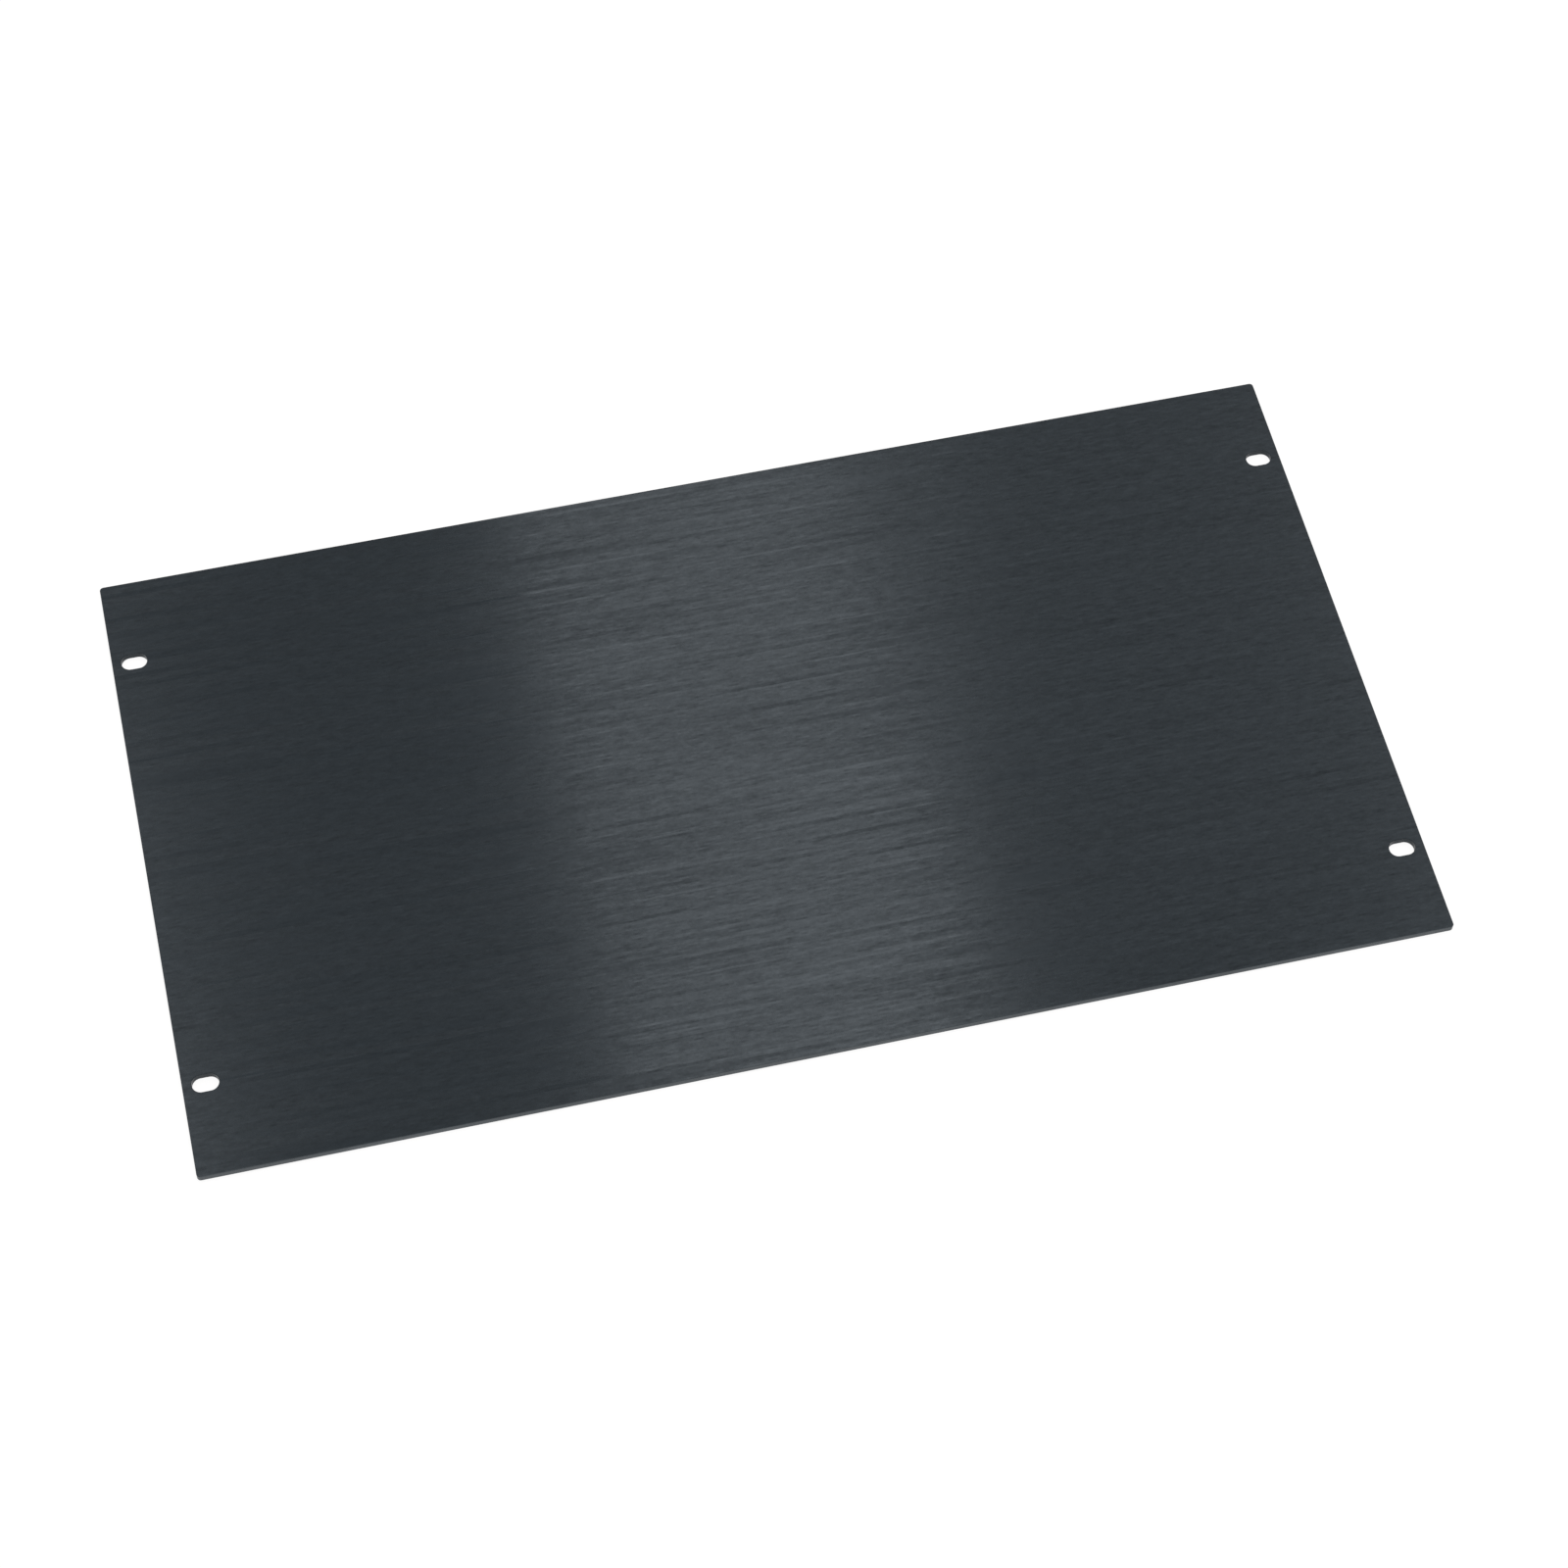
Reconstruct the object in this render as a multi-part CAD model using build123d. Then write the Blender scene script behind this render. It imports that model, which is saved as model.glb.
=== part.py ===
from build123d import *
import os

# A blanking panel that closes a bay of a 19 inch rack: one flat sheet with four screw slots.
# It lies on its back: X runs along the rack's width, Y up the rack and Z out of the brushed front face.
# The origin is the middle of the back face, which meets the rack's rails.
# All sizes are in millimetres.

# Rack grid: the height of one unit, and how many units the panel closes.
rack_unit = 44.45
unit_count = 6
# The panel is this much lower than its units, so that it clears its neighbours.
height_clearance = 0.8

# Sheet: width over the rack's flanges, thickness and the round at each corner of the outline.
panel_width = 482.6
sheet_thickness = 3.0
corner_radius = 1.5
# The sheet's outer edges are deburred to a small round on both faces.
edge_radius = 0.3

# Screw slots: rounded ends, long side along X.
slot_length = 10.3
slot_width = 7.1
# Metal left between a slot's outer end and the side edge of the sheet.
slot_side_margin = 3.6
# A slot row lies this far towards the sheet's edge from the line between its first and second unit.
slot_row_offset = 6.35
# The mouths of the slots are broken with a small chamfer on both faces.
slot_chamfer = 0.2

# Sizes that follow from those above.
panel_height = rack_unit * unit_count - height_clearance
slot_x = panel_width / 2 - slot_side_margin - slot_length / 2
slot_y = panel_height / 2 + height_clearance / 2 - rack_unit + slot_row_offset


def front_and_back(plate):
    """The two broad faces of the plate, back face first."""
    faces = plate.faces().sort_by(Axis.Z)
    return faces[0], faces[-1]


def make_sheet():
    """The plain sheet with rounded corners and deburred outer edges, its back on Z = 0."""
    outline = RectangleRounded(panel_width, panel_height, corner_radius)
    plate = extrude(outline, amount=sheet_thickness)
    back, front = front_and_back(plate)
    return fillet(back.edges() + front.edges(), radius=edge_radius)


def slot_cutters():
    """Four upright prisms of the slot's outline, one at each screw place."""
    outline = SlotOverall(slot_length, slot_width)
    cutter = extrude(outline, amount=sheet_thickness)
    places = [(x, y) for x in (-slot_x, slot_x) for y in (-slot_y, slot_y)]
    return [Pos(x, y, 0) * cutter for x, y in places]


def cut_slots(plate):
    """Cuts the four slots through the plate and breaks the edges of their mouths."""
    for cutter in slot_cutters():
        plate = plate - cutter
    mouths = ShapeList()
    for face in front_and_back(plate):
        for wire in face.inner_wires():
            mouths += wire.edges()
    return chamfer(mouths, length=slot_chamfer)


panel = cut_slots(make_sheet())
panel.label = "blank_panel"

os.makedirs("parts", exist_ok=True)
export_step(panel, "parts/blank_panel.step")
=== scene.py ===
"""A brushed, black anodised rack blanking panel, lying on a pale studio floor under softboxes."""

import logging
import math
from dataclasses import dataclass, field
from enum import Enum, IntEnum

import bpy
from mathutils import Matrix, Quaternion, Vector


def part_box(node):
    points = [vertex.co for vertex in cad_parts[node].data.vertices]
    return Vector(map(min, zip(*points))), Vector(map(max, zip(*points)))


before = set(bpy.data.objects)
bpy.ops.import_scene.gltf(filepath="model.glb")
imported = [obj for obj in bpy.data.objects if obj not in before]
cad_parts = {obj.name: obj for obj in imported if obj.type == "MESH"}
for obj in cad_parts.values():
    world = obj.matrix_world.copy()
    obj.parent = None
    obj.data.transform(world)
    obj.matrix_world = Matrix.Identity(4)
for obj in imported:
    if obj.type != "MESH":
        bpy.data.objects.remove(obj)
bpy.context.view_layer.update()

MILLIMETRE = 0.001
PER_MILLIMETRE = 1000.0
# The noise textures give about this on average.
NOISE_MIDDLE = 0.5
log = logging.getLogger("scene")


class Op(Enum):
    """The sums that the finishes use, by the Math node's own names."""

    ADD = "ADD"
    TAKE = "SUBTRACT"
    TIMES = "MULTIPLY"
    TIMES_ADD = "MULTIPLY_ADD"
    SIZE = "ABSOLUTE"
    WHOLE = "FLOOR"
    MORE = "GREATER_THAN"
    LARGER = "MAXIMUM"


class ColourMix(IntEnum):
    """The numbers of the Mix node's sockets when it mixes two colours."""

    SHARE = 0
    FIRST = 6
    SECOND = 7
    RESULT = 2


def linear(code: str) -> tuple[float, float, float, float]:
    """Turns an sRGB hex colour into linear light.

    Args:
        code: Six hex digits, red, green and blue.

    Returns:
        Linear red, green, blue and an alpha of 1.
    """
    levels = [int(code[i : i + 2], 16) / 255 for i in (0, 2, 4)]
    light = [v / 12.92 if v <= 0.04045 else ((v + 0.055) / 1.055) ** 2.4 for v in levels]
    return (light[0], light[1], light[2], 1.0)


def add_node(
    tree: bpy.types.NodeTree,
    kind: str,
    settings: dict[str, object] | None = None,
    inputs: dict[str | int, object] | None = None,
) -> bpy.types.Node:
    """Adds a node with its settings and links.

    Args:
        tree: The node tree that gets the node.
        kind: The node's type name.
        settings: Property values by property name.
        inputs: For each input's name or number, a value or the output socket that feeds it.

    Returns:
        The new node.
    """
    node = tree.nodes.new(kind)
    for name, value in (settings or {}).items():
        setattr(node, name, value)
    for key, value in (inputs or {}).items():
        if isinstance(value, bpy.types.NodeSocket):
            tree.links.new(value, node.inputs[key])
        else:
            node.inputs[key].default_value = value
    return node


def add_sum(
    tree: bpy.types.NodeTree, op: Op, *values: float | bpy.types.NodeSocket, clamp: bool = False
) -> bpy.types.NodeSocket:
    """Adds one sum of numbers.

    Args:
        tree: The node tree that gets the sum.
        op: Which sum it is.
        values: The numbers or sockets that it takes, in their order.
        clamp: Whether the result is kept between 0 and 1.

    Returns:
        The socket that gives the result.
    """
    settings = {"operation": op.value, "use_clamp": clamp}
    return add_node(tree, "ShaderNodeMath", settings, dict(enumerate(values))).outputs[0]


def seen_directly(tree: bpy.types.NodeTree) -> bpy.types.NodeSocket:
    """Tells rays that show a surface, straight or in a reflection, from rays that only carry its light.

    Args:
        tree: The node tree that needs it.

    Returns:
        1 for camera, glossy and transmission rays, and 0 for all others.
    """
    path = add_node(tree, "ShaderNodeLightPath").outputs
    reflected = add_sum(tree, Op.ADD, path["Is Camera Ray"], path["Is Glossy Ray"], clamp=True)
    return add_sum(tree, Op.ADD, reflected, path["Is Transmission Ray"], clamp=True)


@dataclass(frozen=True)
class BrushMarks:
    """One set of marks that the brushing belt leaves: dead straight, all along the sheet's length.

    Each mark lies in a row of its own. A belt of about 150 grit leaves marks near 0.1 mm apart, which
    are too fine to show from where the camera stands. The rows are drawn 8 to 23 times as wide, which
    is how wide the bundles are that the eye sees them form.

    Attributes:
        length: How long a mark is, in millimetres.
        coarseness: How many times as wide as a real mark it is drawn.
        tone: How much lighter the film gets where the marks' height rises by 1, as a share of it.
            Below 0 it gets darker.
        gloss: How much smoother the metal gets there, as a share of its roughness.
        least: Level of the noise, from 0 to 1, under which a mark doesn't show.
        finer: How many times the marks are broken up again into ones half as long.
        pitch: How far apart real marks are, in millimetres.
        unevenness: How strong each finer break is beside the one before it.
        row_shift: How far apart the rows may start in the noise, so that no two look alike.
    """

    length: float
    coarseness: float
    tone: float
    gloss: float
    least: float | None = None
    finer: float = 0.0
    pitch: float = 0.1
    unevenness: float = 0.75
    row_shift: float = 5000.0

    def build(
        self, tree: bpy.types.NodeTree, x: bpy.types.NodeSocket, y: bpy.types.NodeSocket
    ) -> bpy.types.NodeSocket:
        """Draws the marks in rows, each row with its own run of noise along X.

        Args:
            tree: The material's node tree.
            x: Place along the sheet in its own frame, in metres.
            y: Place across the marks, in metres.

        Returns:
            The height of the marks: about 0 on average, or 0 wherever the noise is under the least level.
        """
        row_width = self.pitch * self.coarseness
        across = add_sum(tree, Op.TIMES, y, PER_MILLIMETRE / row_width)
        row = add_sum(tree, Op.WHOLE, across)
        own_start = add_node(tree, "ShaderNodeTexWhiteNoise", {"noise_dimensions": "1D"}, {"W": row})
        start = add_sum(tree, Op.TIMES, own_start.outputs["Value"], self.row_shift)
        along = add_sum(tree, Op.TIMES_ADD, x, PER_MILLIMETRE / self.length, start)
        noise = add_node(
            tree,
            "ShaderNodeTexNoise",
            {"noise_dimensions": "1D"},
            {"W": along, "Scale": 1.0, "Detail": self.finer, "Roughness": self.unevenness},
        )
        if self.least is None:
            return add_sum(tree, Op.TAKE, noise.outputs[0], NOISE_MIDDLE)
        return add_sum(tree, Op.TAKE, noise.outputs[0], self.least, clamp=True)


@dataclass(frozen=True)
class PressureStripes:
    """Long soft stripes where the brushing belt pressed more, or less.

    Attributes:
        length: How long a stripe is, in millimetres.
        width: How wide a stripe is, in millimetres.
        tone: How much lighter the film gets where the stripes' height rises by 1, as a share of it.
        gloss: How much smoother the metal gets there, as a share of its roughness.
        finer: How many times the stripes are broken up again into finer ones.
    """

    length: float
    width: float
    tone: float
    gloss: float
    finer: float = 1.0

    def build(self, tree: bpy.types.NodeTree, place: bpy.types.NodeSocket) -> bpy.types.NodeSocket:
        """Draws the stripes as noise stretched along X.

        Args:
            tree: The material's node tree.
            place: The point in the sheet's own frame, in metres.

        Returns:
            The height of the stripes, about 0 on average.
        """
        across = PER_MILLIMETRE / self.width
        along = PER_MILLIMETRE / self.length
        scale = (along, across, across)
        stretched = add_node(tree, "ShaderNodeMapping", inputs={"Vector": place, "Scale": scale})
        noise = add_node(
            tree,
            "ShaderNodeTexNoise",
            inputs={"Vector": stretched.outputs[0], "Scale": 1.0, "Detail": self.finer},
        )
        return add_sum(tree, Op.TAKE, noise.outputs[0], NOISE_MIDDLE)


@dataclass(frozen=True)
class BlackAnodisedBrushedAluminium:
    """Aluminium sheet, belt brushed along its length, then cut to size, anodised and dyed black.

    The dyed oxide film lets little light back from the metal under it, so the sheet is a dark, slightly
    blue-grey metal. The brush marks all run one way: they spread a reflection widely across themselves
    and hardly at all along themselves, so that a lamp overhead shows as a band across the marks.
    """

    name: str = "black_anodised_brushed_aluminium"
    film: str = "2E3337"
    # The outer edges get this lighter colour, a painted reflection of the lit floor in front of them, so
    # that they look a little lighter than the face.
    painted_reflection_on_edges: str = "4C5155"
    # How far in from the sheet's outline the outer edge, with its painted reflection, and its round reach,
    # in millimetres.
    edge_depth: float = 0.4
    # A brushed metal's roughness is typically 0.2 to 0.35.
    roughness: float = 0.264
    # How much wider the marks spread light across themselves than along themselves, from 0 to 1.
    across_the_grain: float = 1.0
    # Long marks, shorter ones, a few bright scratches wherever the noise is high, and short flecks
    # between them, which give the brushing its fine tooth. Their gloss shows where a lamp is seen in
    # the sheet, and their tone shows everywhere.
    marks: tuple[BrushMarks, ...] = (
        BrushMarks(length=190.0, coarseness=23.0, tone=-0.08, gloss=0.62),
        BrushMarks(length=70.0, coarseness=15.0, tone=0.09, gloss=0.55),
        BrushMarks(length=90.0, coarseness=10.0, tone=0.20, gloss=1.25, least=0.60),
        BrushMarks(length=9.0, coarseness=8.0, tone=0.70, gloss=0.60, finer=3.0),
    )
    stripes: PressureStripes = PressureStripes(length=150.0, width=5.0, tone=0.09, gloss=0.26)
    # How deep the marks would be cut where they take away all roughness, in millimetres. The deepest
    # come to about half of it.
    mark_depth: float = 0.005
    # The milled walls have fainter marks, which run through the sheet's thickness.
    share_on_walls: float = 0.35
    # How level a surface is, from 0 to 1, where the walls end and where the broad faces begin.
    wall_until: float = 0.6
    face_from: float = 0.95

    def build(self, half_size: tuple[float, float]) -> bpy.types.Material:
        """Makes the material.

        Args:
            half_size: Half the sheet's width and height, in metres.

        Returns:
            The material, with its node tree.
        """
        material = bpy.data.materials.new(self.name)
        material.use_nodes = True
        tree = material.node_tree
        tree.nodes.clear()
        here = add_node(tree, "ShaderNodeTexCoord")
        place = here.outputs["Object"]
        axes = add_node(tree, "ShaderNodeSeparateXYZ", inputs={"Vector": place})
        x = axes.outputs["X"]
        y = axes.outputs["Y"]
        brushed = self.brushed_share(tree, here.outputs["Normal"])
        # Painted reflection: the outer edges are coloured lighter for the lit floor that they reflect.
        painted_reflection = self.painted_reflection_share(tree, (x, y), half_size, brushed)
        tone, gloss = self.all_marks(tree, place, (x, y), brushed)
        # The direction in which the marks spread light: across them, along Y on the two broad faces.
        spread = add_node(tree, "ShaderNodeTangent", {"direction_type": "RADIAL", "axis": "X"})
        bump = add_node(
            tree,
            "ShaderNodeBump",
            inputs={"Strength": 1.0, "Distance": self.mark_depth * MILLIMETRE, "Height": gloss},
        )
        surface = add_node(
            tree,
            "ShaderNodeBsdfPrincipled",
            inputs={
                "Base Color": self.colour(tree, painted_reflection, tone),
                "Metallic": 1.0,
                # High marks are smoother than the metal between them.
                "Roughness": add_sum(tree, Op.TIMES_ADD, gloss, -self.roughness, self.roughness),
                "Anisotropic": self.across_the_grain,
                "Normal": bump.outputs["Normal"],
                "Tangent": spread.outputs["Tangent"],
            },
        )
        add_node(tree, "ShaderNodeOutputMaterial", inputs={"Surface": surface.outputs["BSDF"]})
        return material

    def colour(
        self, tree: bpy.types.NodeTree, painted_reflection: bpy.types.NodeSocket, tone: bpy.types.NodeSocket
    ) -> bpy.types.NodeSocket:
        """Colours the film: lighter on the outer edges, where a reflection of the lit floor is painted, and
        a little lighter on most marks.

        Args:
            tree: The material's node tree.
            painted_reflection: 1 on the outer edges, where the painted reflection goes, and 0 elsewhere.
            tone: How much the marks lighten the film, as a share of it.

        Returns:
            The colour.
        """
        film_and_painted_reflection = {
            ColourMix.SHARE: painted_reflection,
            ColourMix.FIRST: linear(self.film),
            ColourMix.SECOND: linear(self.painted_reflection_on_edges),
        }
        # The film, with a painted reflection of the lit floor on the outer edges.
        film = add_node(tree, "ShaderNodeMix", {"data_type": "RGBA"}, film_and_painted_reflection)
        toned = add_node(
            tree,
            "ShaderNodeVectorMath",
            {"operation": "SCALE"},
            {"Vector": film.outputs[ColourMix.RESULT], "Scale": add_sum(tree, Op.ADD, tone, 1.0)},
        )
        return toned.outputs["Vector"]

    def brushed_share(self, tree: bpy.types.NodeTree, normal: bpy.types.NodeSocket) -> bpy.types.NodeSocket:
        """Tells the brushed broad faces from the milled walls.

        Args:
            tree: The material's node tree.
            normal: The direction that the surface faces, in the sheet's own frame.

        Returns:
            1 on the broad faces and 0 on the walls, blended over the rounded edges.
        """
        facing = add_node(tree, "ShaderNodeSeparateXYZ", inputs={"Vector": normal})
        level = add_sum(tree, Op.SIZE, facing.outputs["Z"])
        share = add_node(
            tree,
            "ShaderNodeMapRange",
            inputs={"Value": level, "From Min": self.wall_until, "From Max": self.face_from},
        )
        return share.outputs["Result"]

    def painted_reflection_share(
        self,
        tree: bpy.types.NodeTree,
        place: tuple[bpy.types.NodeSocket, bpy.types.NodeSocket],
        half_size: tuple[float, float],
        brushed: bpy.types.NodeSocket,
    ) -> bpy.types.NodeSocket:
        """Finds where the painted reflection of the lit floor goes: the sheet's outer edges, and not the
        rest, the slots' walls among it.

        Args:
            tree: The material's node tree.
            place: Place along and across the sheet in its own frame, in metres.
            half_size: Half the sheet's width and height, in metres.
            brushed: 1 on the broad faces and 0 on the walls.

        Returns:
            1 on the outer edges and 0 elsewhere.
        """
        outer = []
        for along, half in zip(place, half_size):
            from_middle = add_sum(tree, Op.SIZE, along)
            outer.append(add_sum(tree, Op.MORE, from_middle, half - self.edge_depth * MILLIMETRE))
        either = add_sum(tree, Op.LARGER, *outer)
        wall = add_sum(tree, Op.TAKE, 1.0, brushed)
        return add_sum(tree, Op.TIMES, either, wall)

    def all_marks(
        self,
        tree: bpy.types.NodeTree,
        place: bpy.types.NodeSocket,
        axes: tuple[bpy.types.NodeSocket, bpy.types.NodeSocket],
        brushed: bpy.types.NodeSocket,
    ) -> tuple[bpy.types.NodeSocket, bpy.types.NodeSocket]:
        """Lays all the sets of marks over each other, weaker on the walls than on the broad faces.

        Args:
            tree: The material's node tree.
            place: The point in the sheet's own frame, in metres.
            axes: The same point's places along and across the sheet.
            brushed: 1 on the broad faces and 0 on the walls.

        Returns:
            How much they lighten the film, and how much of the metal's roughness they take away, as shares.
        """
        height = self.stripes.build(tree, place)
        tone = add_sum(tree, Op.TIMES, height, self.stripes.tone)
        gloss = add_sum(tree, Op.TIMES, height, self.stripes.gloss)
        for marks in self.marks:
            height = marks.build(tree, *axes)
            tone = add_sum(tree, Op.TIMES_ADD, height, marks.tone, tone)
            gloss = add_sum(tree, Op.TIMES_ADD, height, marks.gloss, gloss)
        strength = add_sum(tree, Op.TIMES_ADD, brushed, 1.0 - self.share_on_walls, self.share_on_walls)
        return add_sum(tree, Op.TIMES, tone, strength), add_sum(tree, Op.TIMES, gloss, strength)


@dataclass
class BlankPanel:
    """The panel: one flat sheet with four screw slots, whose shape is the frame's own."""

    node: str = "blank_panel"
    slot: str = "black_anodised_aluminium"
    finish: BlackAnodisedBrushedAluminium = field(default_factory=BlackAnodisedBrushedAluminium)

    def dress(self) -> bpy.types.Object:
        """Gives the sheet its finish.

        Returns:
            The panel's object.
        """
        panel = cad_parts[self.node]
        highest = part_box(self.node)[1]
        panel.data.materials.clear()
        panel.data.materials.append(self.finish.build((highest.x, highest.y)))
        return panel


@dataclass(frozen=True)
class WhitePaintedFloor:
    """A studio floor rolled with flat white paint: it reflects evenly, and shows only soft shadow."""

    name: str = "flat_white_paint"
    paint: str = "E8E8E8"
    # What the camera and the panel's reflections see: mostly plain white of its own, and as much of
    # this grey, which the light falls on, as keeps the panel's shadow.
    shaded: str = "767676"
    own_white: float = 0.90

    def build(self) -> bpy.types.Material:
        """Makes the material.

        Returns:
            The material, with its node tree.
        """
        material = bpy.data.materials.new(self.name)
        material.use_nodes = True
        tree = material.node_tree
        tree.nodes.clear()
        painted = add_node(tree, "ShaderNodeBsdfDiffuse", inputs={"Color": linear(self.paint)})
        shaded = add_node(tree, "ShaderNodeBsdfDiffuse", inputs={"Color": linear(self.shaded)})
        white = add_node(tree, "ShaderNodeEmission", inputs={"Strength": self.own_white})
        seen = add_node(tree, "ShaderNodeAddShader", inputs={0: shaded.outputs[0], 1: white.outputs[0]})
        chosen = add_node(
            tree,
            "ShaderNodeMixShader",
            inputs={0: seen_directly(tree), 1: painted.outputs[0], 2: seen.outputs[0]},
        )
        add_node(tree, "ShaderNodeOutputMaterial", inputs={"Surface": chosen.outputs[0]})
        return material


@dataclass
class Floor:
    """The floor that the panel lies on, in metres."""

    half_width: float = 12.0
    # The floor lies this far under the sheet's back, so that the two faces don't share a plane.
    gap: float = 0.0002
    finish: WhitePaintedFloor = field(default_factory=WhitePaintedFloor)

    def build(self) -> bpy.types.Object:
        """Lays the floor.

        Returns:
            The floor's object.
        """
        corners = [
            (x * self.half_width, y * self.half_width, -self.gap)
            for x, y in ((-1, -1), (1, -1), (1, 1), (-1, 1))
        ]
        mesh = bpy.data.meshes.new("floor")
        mesh.from_pydata(corners, [], [(0, 1, 2, 3)])
        mesh.materials.append(self.finish.build())
        floor = bpy.data.objects.new("floor", mesh)
        bpy.context.scene.collection.objects.link(floor)
        return floor


@dataclass(frozen=True)
class Softbox:
    """A flat lamp that hangs level over the panel and shines down.

    Attributes:
        name: The lamp's name.
        middle: The middle of the lamp, in metres.
        width: Its size along X, in metres.
        length: Its size along Y, in metres.
        brightness: How bright its front is, where 1 is white.
        turn: How far it is turned about the vertical, in degrees.
        colour: The colour of its light.
    """

    name: str
    middle: tuple[float, float, float]
    width: float
    length: float
    brightness: float
    turn: float = 0.0
    colour: str = "FFF3EB"

    def build(self) -> bpy.types.Object:
        """Hangs the lamp.

        Returns:
            The lamp's object.
        """
        data = bpy.data.lights.new(self.name, "AREA")
        data.shape = "RECTANGLE"
        data.size = self.width
        data.size_y = self.length
        data.color = linear(self.colour)[:3]
        # An area lamp of this power, in watts, has a front of the given brightness.
        data.energy = self.brightness * math.pi * self.width * self.length
        lamp = bpy.data.objects.new(self.name, data)
        lamp.location = self.middle
        lamp.rotation_euler = (0.0, 0.0, math.radians(self.turn))
        lamp.visible_camera = False
        bpy.context.scene.collection.objects.link(lamp)
        return lamp


@dataclass
class Studio:
    """The softboxes and the even light around them."""

    # How bright the white room is as a light on what stands in it, and as it is seen itself.
    fill: float = 0.46
    surround: float = 1.0
    softboxes: tuple[Softbox, ...] = (
        # Shows in the brushed face as the light band across its middle.
        Softbox(
            name="softbox_over_panel",
            middle=(0.2183, 0.791, 1.6),
            width=0.3234,
            length=2.826,
            brightness=2.08,
            turn=-1.4,
        ),
        # Hangs below the first one's right side, dimmer, so that the band ends more softly there.
        Softbox(
            name="softbox_soft_side",
            middle=(0.3719, 0.791, 1.57),
            width=0.065,
            length=2.826,
            brightness=0.81,
            turn=-10.8,
        ),
        # Shows just past the sheet's left edge and lightens that side a little.
        Softbox(
            name="softbox_left",
            middle=(-0.489, 0.8, 1.6),
            width=0.348,
            length=4.4,
            brightness=1.48,
            turn=6.3,
        ),
        # Large and dim: shows over the right third of the sheet and past it.
        Softbox(
            name="softbox_right",
            middle=(1.433, 1.0, 1.63),
            width=1.955,
            length=4.0,
            brightness=0.348,
            turn=7.8,
        ),
        # Lightens the sheet's right edge a little, most at its lower corner.
        Softbox(
            name="softbox_past_right_edge",
            middle=(1.070, 0.791, 1.66),
            width=0.5,
            length=2.826,
            brightness=0.6,
            turn=-4.2,
        ),
    )

    def build(self) -> list[bpy.types.Object]:
        """Hangs the softboxes and lights the room.

        Returns:
            The softboxes' objects.
        """
        world = bpy.data.worlds.new("studio")
        bpy.context.scene.world = world
        world.use_nodes = True
        tree = world.node_tree
        tree.nodes.clear()
        strength = add_node(
            tree,
            "ShaderNodeMapRange",
            inputs={"Value": seen_directly(tree), "To Min": self.fill, "To Max": self.surround},
        )
        light = add_node(
            tree,
            "ShaderNodeBackground",
            inputs={"Color": linear("FFFFFF"), "Strength": strength.outputs["Result"]},
        )
        add_node(tree, "ShaderNodeOutputWorld", inputs={"Surface": light.outputs[0]})
        return [softbox.build() for softbox in self.softboxes]


@dataclass
class Camera:
    """The camera, where the photograph was taken from."""

    # The point of the front face in the middle of the picture, in metres.
    aim: tuple[float, float, float] = (0.00570, -0.01573, 0.003)
    # How far away the camera stands, in metres.
    distance: float = 1.43064
    # Where it stands round the panel and how high, and how far it is rolled, in degrees.
    azimuth: float = -14.864
    elevation: float = 58.717
    roll: float = 2.037
    # Focal length and width of the film, in millimetres.
    lens: float = 84.40
    film: float = 36.0

    def build(self) -> bpy.types.Object:
        """Sets the camera up and makes it the scene's own.

        Returns:
            The camera's object.
        """
        data = bpy.data.cameras.new("camera")
        data.lens = self.lens
        data.sensor_width = self.film
        turn = math.radians(self.azimuth)
        rise = math.radians(self.elevation)
        back = Vector((math.sin(turn) * math.cos(rise), -math.cos(turn) * math.cos(rise), math.sin(rise)))
        camera = bpy.data.objects.new("camera", data)
        camera.location = Vector(self.aim) + back * self.distance
        camera.rotation_mode = "QUATERNION"
        level = (-back).to_track_quat("-Z", "Y")
        camera.rotation_quaternion = level @ Quaternion((0.0, 0.0, 1.0), math.radians(self.roll))
        bpy.context.scene.collection.objects.link(camera)
        bpy.context.scene.camera = camera
        return camera


def main() -> None:
    """Builds the panel, the floor, the lamps and the camera, and reports each."""
    logging.basicConfig(level=logging.INFO, format="%(name)s: %(message)s")
    bpy.context.scene.view_settings.view_transform = "Standard"
    panel = BlankPanel().dress()
    log.info("panel %s wears %s", panel.name, panel.data.materials[0].name)
    floor = Floor().build()
    log.info("floor %s lies under it", floor.name)
    for lamp in Studio().build():
        log.info("lamp %s gives %.1f W", lamp.name, lamp.data.energy)
    camera = Camera().build()
    log.info("camera stands at %s", tuple(round(v, 3) for v in camera.location))


if __name__ == "__main__":
    main()
